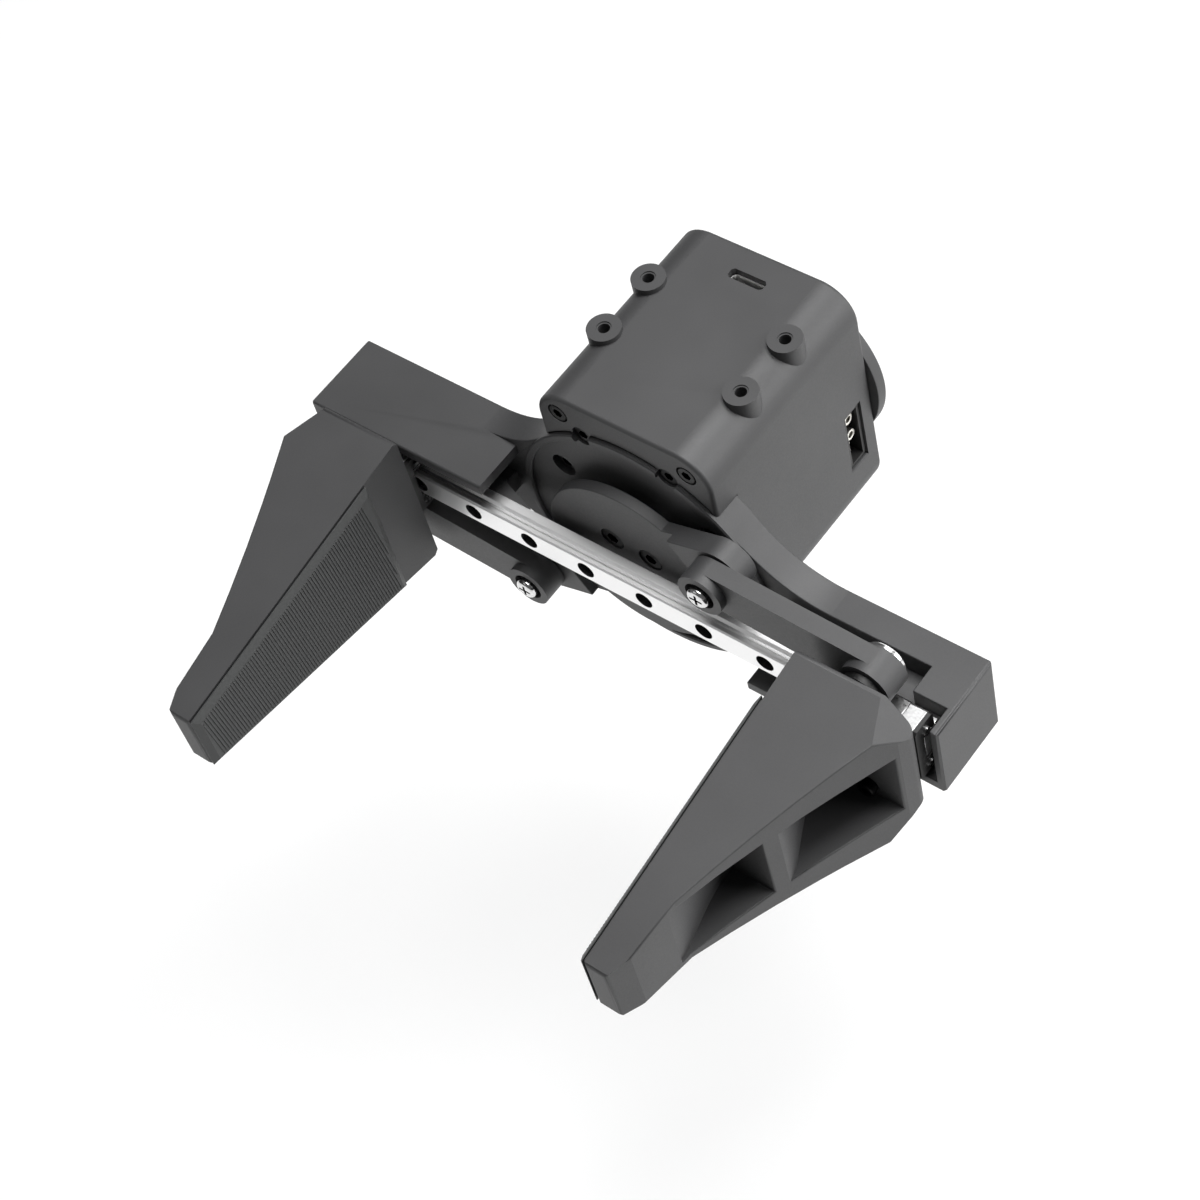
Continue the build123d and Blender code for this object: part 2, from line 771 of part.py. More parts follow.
def make_wing():
    """Wing on the +X side: link side above, canopy below."""
    height = wing_top - wing_bottom
    middle = (wing_top + wing_bottom) / 2
    face = Pos(wing_reach / 2, middle) * Rectangle(wing_reach, height)
    face = face + neck(wing_top, neck_reach_short)
    face = face + mirror(neck(wing_long_side, neck_reach_long), about=Plane.XZ)
    wing = slab(face, plate_front, plate_rear)
    # Canopy over the carriage's far side, with a rounded front edge.
    canopy_y = (canopy_front, plate_front)
    section = polygon([(canopy_y[0], wing_bottom), (canopy_y[1], wing_bottom),
                       (canopy_y[1], wing_bottom + canopy_thickness),
                       (canopy_y[0], wing_bottom + canopy_thickness)])
    outer_corner = [v for v in section.vertices()
                    if abs(v.X - canopy_y[0]) < 0.01 and abs(v.Y - wing_bottom) < 0.01]
    section = fillet(outer_corner, canopy_round)
    wing += extrude(Plane.YZ.offset(canopy_from) * section, amount=wing_reach - canopy_from)
    # Block and lip that close the rail's end.
    wing += block(end_block_from, wing_reach, end_block_front, plate_front, wing_bottom, wing_top)
    lip = polygon([(canopy_front, wing_top), (canopy_front, wing_bottom),
                   (plate_front, wing_bottom), (plate_front, wing_top)])
    lip = fillet([v for v in lip.vertices()
                  if abs(v.X - canopy_front) < 0.01 and v.Y < wing_bottom + 0.01], canopy_round)
    wing += extrude(Plane.YZ.offset(wall_inner) * lip, amount=end_lip_thickness)
    wing = chamfer(wing.faces().sort_by(Axis.X)[-1].edges(), wing_edge)
    # Rail seat with its nose towards the crank.
    half = rail_width / 2
    seat = polygon([(seat_nose_from, rail_height), (wall_inner, rail_height),
                    (wall_inner, plate_front), (seat_bar_from, plate_front),
                    (seat_bar_from, seat_nose_rear),
                    (seat_nose_from, rail_height + seat_nose_thickness)])
    wing += extrude(seat, amount=half, both=True)
    for side in (-1, 1):
        z0 = min(side * half, side * (half - seat_groove_depth))
        z1 = max(side * half, side * (half - seat_groove_depth))
        wing -= block(seat_bar_from, end_block_from, seat_groove_front, plate_front, z0, z1)
    for x in rail_screw_places:
        if x > 0:
            wing -= screw_hole(tiny_screw, x, 0, rail_height, plate_front + blind_hole_margin)
    return wing


def make_bracket():
    wing = make_wing()
    bracket = slab(Circle(plate_radius), plate_front, plate_rear)
    bracket = bracket + wing + half_turn(wing)
    rim = slab(Circle(plate_radius) - Circle(plate_radius - plate_rim_width),
               plate_front - plate_rim_height, plate_front)
    rim = chamfer(rim.faces().sort_by(Axis.Y)[0].edges(), 0.3)
    bracket += rim
    bearing_front = plate_rear - bearing_width
    bracket -= rod(0, 0, bearing_outer_radius, bearing_front, plate_rear)
    bracket -= rod(0, 0, bearing_outer_radius - bearing_lip, plate_front, bearing_front)
    for x, z in corners(plate_screw_x, plate_screw_z):
        bracket -= screw_hole(plate_screw, x, z, plate_front, plate_rear)
        bracket -= head_hole(plate_screw, x, z, plate_front, plate_screw_seat)
    for x, z in rim_screw_places:
        bracket -= screw_hole(small_screw, x, z, plate_front, plate_rear)
        bracket -= head_hole(small_screw, x, z, plate_front - plate_rim_height, rim_screw_seat)
    return bracket


plate_screw_seat = plate_front + plate_screw_sunk + plate_screw[2]
rim_screw_seat = plate_front + rim_screw_sunk + small_screw[2]
rim_screw_places = [(-rim_screw_x, rim_screw_z), (rim_screw_x, rim_screw_z)]
cover_screw_places = [(-corner_screw_x, housing_rise + corner_screw_z),
                      (corner_screw_x, housing_rise + corner_screw_z)]
cover_front = plate_front + cover_set_back
cover_screw_seat = cover_front + small_screw[2]


# Housing, covers and flange
def housing_outline(inset):
    corner = housing_corner - inset
    return Pos(0, housing_rise) * RectangleRounded(
        housing_width - 2 * inset, housing_height - 2 * inset, corner)


def make_front_cover():
    face = housing_outline(0) - Circle(plate_radius + cover_gap)
    face = face.faces().sort_by(Axis.Y)[-1]
    cover = slab(face, cover_front, shell_front)
    front = cover.faces().sort_by(Axis.Y)[0]
    outer = [e for e in front.edges()
             if hypot(e.center().X, e.center().Z) > plate_radius + cover_gap + 0.5]
    cover = fillet(outer, cover_edge)
    for x, z in cover_screw_places:
        cover -= screw_hole(small_screw, x, z, cover_front, shell_front)
        cover -= head_hole(small_screw, x, z, cover_front, cover_screw_seat)
    for x, z in rim_screw_places:
        cover -= screw_hole(small_screw, x, z, cover_front, shell_front)
        cover -= head_hole(small_screw, x, z, cover_front, rim_screw_seat)
    return cover


def boss_places():
    first = shell_front + boss_from_seam
    return [(sx * boss_spacing_x / 2, first + step)
            for sx in (-1, 1) for step in (0.0, boss_spacing_y)]


def upright(x, y, radius, z0, z1):
    """Round bar along Z."""
    return Pos(x, y, (z0 + z1) / 2) * Cylinder(radius, z1 - z0)


def make_housing():
    shell = slab(housing_outline(0), shell_front, shell_rear)
    shell -= slab(housing_outline(housing_wall), motor_front, shell_rear)
    posts = slab(housing_outline(0.5), shell_rear - corner_post_length, shell_rear)
    post_bars = [rod(x, z, corner_post_radius, shell_rear - corner_post_length, shell_rear)
                 for x, z in corners(corner_screw_x, corner_screw_z, housing_rise)]
    for bar in post_bars:
        shell += bar & posts
    boss_top = housing_top + boss_height
    for x, y in boss_places():
        shell += upright(x, y, boss_radius, housing_top - boss_depth, boss_top)
    for x, y in boss_places():
        shell -= upright(x, y, boss_thread_radius, boss_top - boss_thread_depth, boss_top)
        shell -= upright(x, y, boss_spot_radius, boss_top - boss_spot_depth, boss_top)
    shell -= rod(0, 0, wall_bore_radius, shell_front, motor_front)
    for x, z in corners(plate_screw_x, plate_screw_z):
        shell -= screw_hole(plate_screw, x, z, shell_front, motor_front)
    for x, z in rim_screw_places + cover_screw_places:
        shell -= screw_hole(small_screw, x, z, shell_front, motor_front)
    for x, z in corners(corner_screw_x, corner_screw_z, housing_rise):
        shell -= screw_hole(small_screw, x, z, shell_rear - corner_post_length + blind_hole_margin,
                            shell_rear)
    for x, z in circle_points(motor_screw_circle, 4, 0.0):
        shell -= screw_hole(small_screw, x, z, shell_front, motor_front)
        shell -= head_hole(small_screw, x, z, shell_front, shell_front + small_screw[2])
    slot = chamfer(Rectangle(usb_width, usb_slot_depth).vertices(), usb_slot_corner)
    shell -= extrude(Plane.XY.offset(housing_top - housing_wall - 1.0) * Pos(
        usb_centre_x, usb_y) * slot, amount=housing_wall + 2.0)
    shell -= block(housing_side - housing_wall - 1.0, housing_side + 1.0,
                   shell_rear - port_depth, shell_rear,
                   port_centre_z - port_length / 2, port_centre_z + port_length / 2)
    return shell


def flange_screw_places():
    """The flange's own screws, between the bolt holes and on a wider circle."""
    return circle_points(flange_screw_circle / 2, 4, 45.0, housing_rise)


def make_rear_cover():
    cover = slab(housing_outline(0), shell_rear, cover_rear)
    cover = fillet(cover.faces().sort_by(Axis.Y)[-1].edges(), cover_edge)
    for x, z in corners(corner_screw_x, corner_screw_z, housing_rise):
        cover -= screw_hole(small_screw, x, z, shell_rear, cover_rear)
        cover -= head_hole(small_screw, x, z, rear_screw_seat, cover_rear)
    for x, z in flange_screw_places():
        cover -= rod(x, z, plate_screw[0] + screw_fit, shell_rear, cover_rear)
    for x, z in circle_points(flange_bolt_circle / 2, flange_bolt_count, 0.0, housing_rise):
        cover -= rod(x, z, flange_bolt_radius, shell_rear, cover_rear)
    return cover


rear_screw_seat = cover_rear - small_screw[2] - rear_screw_sunk


def make_flange():
    flange = rod(0, housing_rise, flange_radius, cover_rear, flange_rear)
    flange = chamfer(flange.faces().sort_by(Axis.Y)[-1].edges(), flange_edge)
    flange -= rod(0, housing_rise, flange_pilot_radius, cover_rear, flange_rear)
    for x, z in circle_points(flange_bolt_circle / 2, flange_bolt_count, 0.0, housing_rise):
        flange -= rod(x, z, flange_bolt_radius, cover_rear, flange_rear)
    for x, z in flange_screw_places():
        flange -= screw_hole(flange_screw, x, z, cover_rear, flange_rear)
        flange -= head_hole(flange_screw, x, z, flange_screw_seat, flange_rear)
    return flange


flange_screw = (plate_screw[0], plate_screw[1], flange_screw_head, plate_screw[3])
flange_screw_seat = flange_rear - flange_screw_head - flange_screw_sunk


# Control board and sockets
def make_board():
    middle = (board_low + board_high) / 2
    face = Pos(0, middle) * Rectangle(2 * board_half_width, board_high - board_low)
    face = face + Pos(0, (board_high + board_tongue_high) / 2 - 0.5) * Rectangle(
        2 * board_tongue_half_width, board_tongue_high - board_high + 1.0)
    notch = board_half_width - (housing_side - port_socket_recess - port_socket_back) + 0.2
    face = face - Pos(board_half_width - notch / 2, port_centre_z) * Rectangle(
        notch, port_length + 0.4)
    board = slab(face, board_front, board_rear)
    for x, z in circle_points(board_post_circle, 4, board_post_angle):
        board -= rod(x, z, small_screw[0] + screw_fit, board_front, board_rear)
    for x, z in corners(corner_screw_x, corner_screw_z, housing_rise):
        board -= rod(x, z, corner_post_radius + board_clearance, board_front, board_rear)
    return board


def make_board_posts():
    return [rod(x, z, board_post_radius, motor_rear, board_front)
            for x, z in circle_points(board_post_circle, 4, board_post_angle)]


def make_usb():
    top = housing_top - usb_lip_below_top
    face = RectangleRounded(usb_shell_width - 0.8, usb_slot_depth - 0.1, 1.1)
    hollow = RectangleRounded(usb_shell_width - 0.8 - 2 * usb_shell_wall,
                              usb_slot_depth - 0.1 - 2 * usb_shell_wall, 0.8)
    place = Plane.XY.offset(top - usb_shell_height) * Pos(usb_centre_x, usb_y)
    shell = extrude(place * face, amount=usb_shell_height)
    cavity = Plane.XY.offset(top - usb_shell_height + 1.5) * Pos(usb_centre_x, usb_y)
    shell -= extrude(cavity * hollow, amount=usb_shell_height)
    shell += block(usb_centre_x - 3.2, usb_centre_x + 3.2, usb_y - 0.35, usb_y + 0.35,
                   top - usb_shell_height + 1.0, top - 1.0)
    foot = block(usb_centre_x - 4.0, usb_centre_x + 4.0, board_rear, usb_y,
                 top - usb_shell_height, board_tongue_high)
    return shell + (foot - extrude(cavity * hollow, amount=usb_shell_height))


port_x1 = housing_side - port_socket_recess
port_x0 = port_x1 - port_socket_back
port_y0 = shell_rear - port_depth + port_socket_gap
port_y1 = shell_rear - port_socket_gap
port_z0 = port_centre_z - port_length / 2 + port_socket_gap
port_z1 = port_centre_z + port_length / 2 - port_socket_gap
power_places = [power_contact_z, power_contact_z - power_contact_pitch]
signal_places = [signal_contact_z, signal_contact_z - signal_contact_pitch]


def make_power_socket():
    body = block(port_x0, port_x1, port_y0, port_y1, port_z0, port_z1)
    body = chamfer(body.edges().filter_by(Axis.X), port_edge)
    body -= block(port_x1 - port_cavity_depth, port_x1, port_y0 + port_wall, port_y1 - port_wall,
                  port_z0 + port_wall, port_z1 - port_wall)
    y = (port_y0 + port_y1) / 2
    for z in power_places:
        body -= Pos((port_x0 + port_x1) / 2, y, z) * Rot(0, 90, 0) * Cylinder(
            power_contact_radius, port_x1 - port_x0)
    for z in signal_places:
        half = signal_contact_size / 2
        body -= block(port_x0, port_x1, y - half, y + half, z - half, z + half)
    return body


def make_contacts():
    y = (port_y0 + port_y1) / 2
    front = port_x1 - contact_recess
    contacts = []
    for z in power_places:
        bar = Pos((port_x0 + front) / 2, y, z) * Rot(0, 90, 0) * Cylinder(
            power_contact_radius, front - port_x0)
        bar -= Pos(front - contact_bore_depth / 2, y, z) * Rot(0, 90, 0) * Cylinder(
            power_contact_bore, contact_bore_depth)
        contacts.append(bar)
    half = signal_contact_size / 2
    for z in signal_places:
        contacts.append(block(port_x0, front - signal_contact_recess, y - half, y + half,
                              z - half, z + half))
    return contacts


# Both sides of the mechanism
right_pieces = {
    "carriage": [make_carriage()],
    "carriage_end_caps": make_caps(),
    "carriage_seals": make_seals(),
    "carriage_cap_screws": make_cap_screws(),
    "finger": [make_finger()],
    "finger_pad": [make_pad()],
    "finger_screws": make_finger_screws(),
    "jaw_pin": [make_jaw_pin()],
    "jaw_pin_washer": [make_jaw_washer()],
    "link": [make_link()],
    "link_bushes": make_bushes(),
    "crank_pin_screw": [make_crank_pin_screw()],
}
for name, shapes in right_pieces.items():
    save(f"right_{name}", shapes)
    save(f"left_{name}", [half_turn(shape) for shape in shapes])

save("linear_rail", [make_rail()])
save("rail_screws", rail_screws)
save("crank_disc", [make_crank()])
save("crank_screws", [socket_screw(crank_screw_size, x, z, disc_front + crank_screw_recess,
                                   crank_screw_length)
                      for x, z in circle_points(crank_screw_circle, 4, crank_screw_angle)])
save("output_hub", [make_hub()])
save("output_shaft", [rod(0, 0, shaft_radius, hub_rear - shaft_in_hub,
                          motor_front + shaft_in_motor)])
save("output_bearing", [make_bearing()])
save("gear_motor", [make_motor()])
save("motor_screws", [socket_screw(small_screw, x, z, shell_front + small_screw[2],
                                   motor_screw_length - small_screw[2])
                      for x, z in circle_points(motor_screw_circle, 4, 0.0)])
save("wing_bracket", [make_bracket()])
save("bracket_screws", [socket_screw(plate_screw, x, z, plate_screw_seat,
                                     motor_front - screw_end_margin - plate_screw_seat)
                        for x, z in corners(plate_screw_x, plate_screw_z)])
save("rim_screws", [socket_screw(small_screw, x, z, rim_screw_seat,
                                 motor_front - screw_end_margin - rim_screw_seat)
                    for x, z in rim_screw_places])
save("front_cover", [make_front_cover()])
save("front_cover_screws", [socket_screw(small_screw, x, z, cover_screw_seat,
                                         motor_front - screw_end_margin - cover_screw_seat)
                            for x, z in cover_screw_places])
save("motor_housing", [make_housing()])
save("rear_cover", [make_rear_cover()])
save("rear_cover_screws", [socket_screw(small_screw, x, z, rear_screw_seat, rear_screw_length,
                                        facing=1)
                           for x, z in corners(corner_screw_x, corner_screw_z, housing_rise)])
save("mounting_flange", [make_flange()])
save("flange_screws", [socket_screw(flange_screw, x, z, flange_screw_seat,
                                    flange_screw_seat - shell_rear - screw_end_margin, facing=1)
                       for x, z in flange_screw_places()])
save("control_board", [make_board()])
save("board_posts", make_board_posts())
save("usb_socket", [make_usb()])
save("power_socket", [make_power_socket()])
save("power_contacts", make_contacts())
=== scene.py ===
import logging
import math
from dataclasses import dataclass, field
from enum import Enum
from typing import Any, Callable, Sequence

import bmesh
import bpy
from mathutils import Matrix, Vector
from mathutils.kdtree import KDTree


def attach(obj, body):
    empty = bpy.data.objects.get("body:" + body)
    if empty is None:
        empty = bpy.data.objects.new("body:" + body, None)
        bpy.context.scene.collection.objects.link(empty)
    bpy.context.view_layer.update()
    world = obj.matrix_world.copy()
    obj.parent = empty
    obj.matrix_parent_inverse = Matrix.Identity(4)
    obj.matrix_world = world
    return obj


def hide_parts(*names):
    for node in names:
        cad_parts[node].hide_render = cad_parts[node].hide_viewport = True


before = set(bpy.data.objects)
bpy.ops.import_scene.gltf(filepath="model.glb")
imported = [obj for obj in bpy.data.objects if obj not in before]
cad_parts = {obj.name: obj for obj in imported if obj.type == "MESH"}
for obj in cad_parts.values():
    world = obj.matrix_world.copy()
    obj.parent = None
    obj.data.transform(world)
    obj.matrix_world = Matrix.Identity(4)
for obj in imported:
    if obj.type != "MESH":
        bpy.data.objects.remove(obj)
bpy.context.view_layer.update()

LOG = logging.getLogger("gripper")
MM = 0.001
NOISE_LOW = 0.3  # the range that a noise texture mostly keeps to
NOISE_HIGH = 0.7
NEAR_CORNERS = 24  # CAD face corners tried for each normal
FACING_SLACK = 0.005  # how far two faces may turn apart and still be the same surface
FACING_WEIGHT = 500.0  # millimetres of distance that a full turn apart counts as
FLAT_DEG = 0.8  # faces closer than this to one plane are one face
ROUND_SEGMENTS = 5
CROWDING = 2.2  # an edge shorter than this many easings leaves no room for one
WHITE = (1.0, 1.0, 1.0, 1.0)
Socket = bpy.types.NodeSocket
Tree = bpy.types.NodeTree


class Side(Enum):
    """The two halves of the mechanism; the left one is the right one turned about the crank."""

    RIGHT = "right"
    LEFT = "left"

    @property
    def sign(self) -> int:
        """+1 on the +X side and -1 on the other."""
        return 1 if self is Side.RIGHT else -1


@dataclass(frozen=True)
class Layout:
    """Where the crank axis and the rail lie in the part's frame, in millimetres."""

    flange_depth: float = 65.1
    axis_drop: float = 7.8

    def point(self, x: float, y: float, z: float) -> Vector:
        """Turn a place measured from the rail's front face and the crank axis into metres.

        Args:
            x: distance along the rail.
            y: depth behind the rail's front face.
            z: height above the crank axis.

        Returns:
            The same place in the part's frame.
        """
        return Vector((x, y - self.flange_depth, z - self.axis_drop)) * MM


LAYOUT = Layout()


def linear(code: str) -> tuple[float, float, float, float]:
    """Turn an sRGB hex colour into linear RGBA.

    Args:
        code: the colour as #rrggbb.

    Returns:
        Linear red, green and blue with an alpha of one.
    """
    values = []
    for start in (1, 3, 5):
        share = int(code[start:start + 2], 16) / 255
        values.append(share / 12.92 if share <= 0.04045 else ((share + 0.055) / 1.055) ** 2.4)
    return (values[0], values[1], values[2], 1.0)


def add_node(tree: Tree, kind: str, settings: dict[str | int, Any] | None = None,
             links: dict[str | int, Socket] | None = None) -> bpy.types.Node:
    """Add one shader node.

    Args:
        tree: the node tree that it joins.
        kind: the node's type name.
        settings: values for its properties, or for its inputs by name or number.
        links: sockets that feed its inputs by name or number.

    Returns:
        The new node.
    """
    node = tree.nodes.new(kind)
    for key, value in (settings or {}).items():
        if isinstance(key, int) or key in node.inputs:
            node.inputs[key].default_value = value
        else:
            setattr(node, key, value)
    for key, socket in (links or {}).items():
        tree.links.new(socket, node.inputs[key])
    return node


def per_metre(size_mm: float) -> float:
    """Texture scale whose features are about size_mm across."""
    return 1.0 / (size_mm * MM)


def new_material(name: str) -> tuple[bpy.types.Material, Tree, Socket]:
    """Start an empty node material.

    Args:
        name: the material's name.

    Returns:
        The material, its tree, and the object's own coordinates in metres.
    """
    material = bpy.data.materials.new(name)
    material.use_nodes = True
    tree = material.node_tree
    tree.nodes.clear()
    place = add_node(tree, "ShaderNodeTexCoord")
    return material, tree, place.outputs["Object"]


def close_material(tree: Tree, shader: bpy.types.Node) -> None:
    """Feed a shader to the material's output."""
    add_node(tree, "ShaderNodeOutputMaterial", links={"Surface": shader.outputs[0]})


def stretched(tree: Tree, place: Socket, scale: Sequence[float]) -> Socket:
    """Coordinates scaled differently along each axis."""
    return add_node(tree, "ShaderNodeMapping", {"Scale": scale}, {"Vector": place}).outputs[0]


def grain(tree: Tree, place: Socket, size_mm: float, detail: float = 2.0) -> Socket:
    """Noise as a value about one half.

    Args:
        tree: the node tree that it joins.
        place: the coordinates it varies over.
        size_mm: rough size of its features.
        detail: how many finer layers it has.

    Returns:
        The noise value.
    """
    node = add_node(tree, "ShaderNodeTexNoise",
                    {"Scale": per_metre(size_mm), "Detail": detail, "Roughness": 0.55},
                    {"Vector": place})
    return node.outputs["Fac"]


def spread(tree: Tree, value: Socket, low: float, high: float) -> Socket:
    """Map a noise value from its usual range to another.

    Args:
        tree: the node tree that it joins.
        value: the noise value.
        low: result at the lower end of the usual range.
        high: result at the upper end.

    Returns:
        The mapped value.
    """
    node = add_node(tree, "ShaderNodeMapRange",
                    {"From Min": NOISE_LOW, "From Max": NOISE_HIGH, "To Min": low, "To Max": high},
                    {"Value": value})
    return node.outputs[0]


def tinted(tree: Tree, factor: Socket, dark: str, light: str) -> Socket:
    """Colour that runs from dark to light with a factor.

    Args:
        tree: the node tree that it joins.
        factor: 0 for the dark colour and 1 for the light one.
        dark: sRGB hex colour.
        light: sRGB hex colour.

    Returns:
        The colour.
    """
    node = add_node(tree, "ShaderNodeMix",
                    {"data_type": "RGBA", 6: linear(dark), 7: linear(light)}, {0: factor})
    return node.outputs[2]


def bumped(tree: Tree, height: Socket, depth_mm: float, strength: float = 1.0) -> Socket:
    """Surface normal from a height.

    Args:
        tree: the node tree that it joins.
        height: the height, from 0 to 1.
        depth_mm: what a height of 1 stands for.
        strength: share of the effect that is used.

    Returns:
        The normal.
    """
    node = add_node(tree, "ShaderNodeBump", {"Strength": strength, "Distance": depth_mm * MM},
                    {"Height": height})
    return node.outputs[0]


class Finish:
    """A surface finish that makes its material once."""

    name: str
    slot: str

    def material(self) -> bpy.types.Material:
        """Make the finish's material on first use.

        Returns:
            The material.
        """
        found = bpy.data.materials.get(self.name)
        return found if found else self.build()

    def build(self) -> bpy.types.Material:
        """Make the material."""
        raise NotImplementedError


@dataclass(frozen=True)
class BlastedAnodisedAluminium(Finish):
    """Bead-blasted aluminium with a dyed oxide layer: a matte dark grey skin with a soft sheen."""

    name: str = "blasted_anodised_aluminium"
    slot: str = "anodised_body"
    dark: str = "#2b2b2c"
    light: str = "#323233"
    roughness: float = 0.57
    ior: float = 1.6
    blast_grain_mm: float = 0.35
    dye_cloud_mm: float = 18.0
    blast_depth_mm: float = 0.012

    def build(self) -> bpy.types.Material:
        """Lay dyed oxide over blast grain; the cloud is the slight unevenness of a dye bath.

        Returns:
            The material.
        """
        material, tree, place = new_material(self.name)
        cloud = grain(tree, place, self.dye_cloud_mm)
        # The real blast grain is near 0.1 mm, too fine for the render, so it is drawn coarser.
        blast = grain(tree, place, self.blast_grain_mm, 3.0)
        colour = tinted(tree, spread(tree, cloud, 0.0, 1.0), self.dark, self.light)
        rough = spread(tree, blast, self.roughness - 0.04, self.roughness + 0.04)
        shader = add_node(tree, "ShaderNodeBsdfPrincipled",
                          {"IOR": self.ior, "Metallic": 0.0},
                          {"Base Color": colour, "Roughness": rough,
                           "Normal": bumped(tree, blast, self.blast_depth_mm, 0.6)})
        close_material(tree, shader)
        return material


@dataclass(frozen=True)
class GroundRailSteel(Finish):
    """Hardened steel ground lengthwise: near-mirror, with fine streaks along the rail."""

    name: str = "ground_rail_steel"
    slot: str = "ground_rail_steel"
    dark: str = "#d6d6d7"
    light: str = "#ededed"
    roughness: float = 0.1
    streak_length_mm: float = 30.0
    streak_width_mm: float = 0.3

    def build(self) -> bpy.types.Material:
        """Draw streaks along X, 0.3 mm wide and so coarser than real grinding, to show.

        Returns:
            The material.
        """
        material, tree, place = new_material(self.name)
        along = per_metre(self.streak_length_mm)
        across = per_metre(self.streak_width_mm)
        lines = stretched(tree, place, (along, across, across))
        streak = add_node(tree, "ShaderNodeTexNoise", {"Scale": 1.0, "Detail": 2.0},
                          {"Vector": lines}).outputs["Fac"]
        colour = tinted(tree, spread(tree, streak, 0.0, 1.0), self.dark, self.light)
        rough = spread(tree, streak, self.roughness - 0.03, self.roughness + 0.04)
        shader = add_node(tree, "ShaderNodeBsdfPrincipled", {"Metallic": 1.0},
                          {"Base Color": colour, "Roughness": rough,
                           "Normal": bumped(tree, streak, 0.002, 0.5)})
        close_material(tree, shader)
        return material


@dataclass(frozen=True)
class TurnedSteel(Finish):
    """Steel turned or stamped and left bright: a clear highlight broken by faint tool marks."""

    name: str = "turned_steel"
    slot: str = "plain_steel"
    dark: str = "#8f8f90"
    light: str = "#b2b2b3"
    roughness: float = 0.3
    mark_mm: float = 0.5

    def build(self) -> bpy.types.Material:
        """Draw tool marks as fine noise in colour and roughness.

        Returns:
            The material.
        """
        material, tree, place = new_material(self.name)
        mark = grain(tree, place, self.mark_mm)
        colour = tinted(tree, spread(tree, mark, 0.0, 1.0), self.dark, self.light)
        rough = spread(tree, mark, self.roughness - 0.06, self.roughness + 0.06)
        shader = add_node(tree, "ShaderNodeBsdfPrincipled", {"Metallic": 1.0},
                          {"Base Color": colour, "Roughness": rough,
                           "Normal": bumped(tree, mark, 0.003, 0.4)})
        close_material(tree, shader)
        return material


@dataclass(frozen=True)
class MouldedPolymer(Finish):
    """Moulded plastic or rubber: a dielectric with a fine matte mould texture."""

    name: str = "moulded_nylon"
    slot: str = "connector_nylon"
    dark: str = "#0e0e0e"
    light: str = "#161616"
    roughness: float = 0.5
    ior: float = 1.53
    texture_mm: float = 0.4
    depth_mm: float = 0.01

    def build(self) -> bpy.types.Material:
        """Draw the mould texture as fine noise.

        Returns:
            The material.
        """
        material, tree, place = new_material(self.name)
        texture = grain(tree, place, self.texture_mm, 3.0)
        colour = tinted(tree, spread(tree, texture, 0.0, 1.0), self.dark, self.light)
        rough = spread(tree, texture, self.roughness - 0.05, self.roughness + 0.05)
        shader = add_node(tree, "ShaderNodeBsdfPrincipled", {"IOR": self.ior, "Metallic": 0.0},
                          {"Base Color": colour, "Roughness": rough,
                           "Normal": bumped(tree, texture, self.depth_mm, 0.6)})
        close_material(tree, shader)
        return material


BODY_FINISH = BlastedAnodisedAluminium()
LINKAGE_FINISH = BlastedAnodisedAluminium(
    name="blasted_anodised_linkage", slot="anodised_linkage", dark="#2a2a2b", light="#313132")
FINGER_FINISH = BlastedAnodisedAluminium(
    name="blasted_anodised_finger", slot="anodised_finger", dark="#2b2b2c", light="#313132",
    roughness=0.6)
RAIL_FINISH = GroundRailSteel()
CARRIAGE_FINISH = TurnedSteel(name="ground_carriage_steel", slot="carriage_steel",
                              dark="#8b8b8b", light="#a4a4a4", roughness=0.32)
CAP_FINISH = TurnedSteel(name="satin_cap_plate", slot="cap_plate", dark="#9a9a9a",
                         light="#b0b0b0", roughness=0.4)
PLATED_FINISH = TurnedSteel(name="nickel_plated_steel", slot="bright_steel", dark="#bcbcbc",
                            light="#cfcfcf", roughness=0.18)
STEEL_FINISH = TurnedSteel()
# Painted shade: the plain steel washer is coloured near black for the shade in the narrow gap
# where it sits.
WASHER_PAINTED_SHADE_FINISH = TurnedSteel(name="phosphated_washer_steel", slot="plain_steel", dark="#2c2c2c",
                            light="#3a3a3a", roughness=0.5)
# Painted shade: a darker steel for the faces inside the rail's bores, standing for the shade in
# the holes.
BORE_PAINTED_SHADE_FINISH = TurnedSteel(name="hardened_bore_steel", slot="ground_rail_steel", dark="#686868",
                          light="#808080", roughness=0.4)
OXIDE_FINISH = TurnedSteel(name="black_oxide_steel", slot="black_screw", dark="#171717",
                           light="#222222", roughness=0.4)
BRONZE_FINISH = TurnedSteel(name="turned_bronze", slot="bush_bronze", dark="#9c7a46",
                            light="#b08c55", roughness=0.35)
SOCKET_FINISH = TurnedSteel(name="stamped_stainless_steel", slot="socket_steel", dark="#d2d2d1",
                            light="#e2e2e1", roughness=0.35)
CONTACT_FINISH = TurnedSteel(name="tin_plated_brass", slot="contact_brass", dark="#d6d3cb",
                             light="#e6e4de", roughness=0.3)
NYLON_FINISH = MouldedPolymer()
RUBBER_FINISH = MouldedPolymer(name="moulded_rubber", slot="grip_rubber", dark="#2d2e2e",
                               light="#383939", roughness=0.6, ior=1.52, texture_mm=0.5,
                               depth_mm=0.03)
SEAL_FINISH = MouldedPolymer(name="moulded_seal_rubber", slot="seal_rubber", dark="#101010",
                             light="#181818", roughness=0.55, ior=1.52)
BOARD_FINISH = MouldedPolymer(name="solder_mask_laminate", slot="board_laminate",
                              dark="#0f2a18", light="#143420", roughness=0.35, ior=1.5)


def dress(piece: bpy.types.Object, finish: Finish) -> bpy.types.Object:
    """Give a piece one finish all over.

    Args:
        piece: the piece.
        finish: its finish.

    Returns:
        The same piece.
    """
    piece.data.materials.clear()
    piece.data.materials.append(finish.material())
    return piece


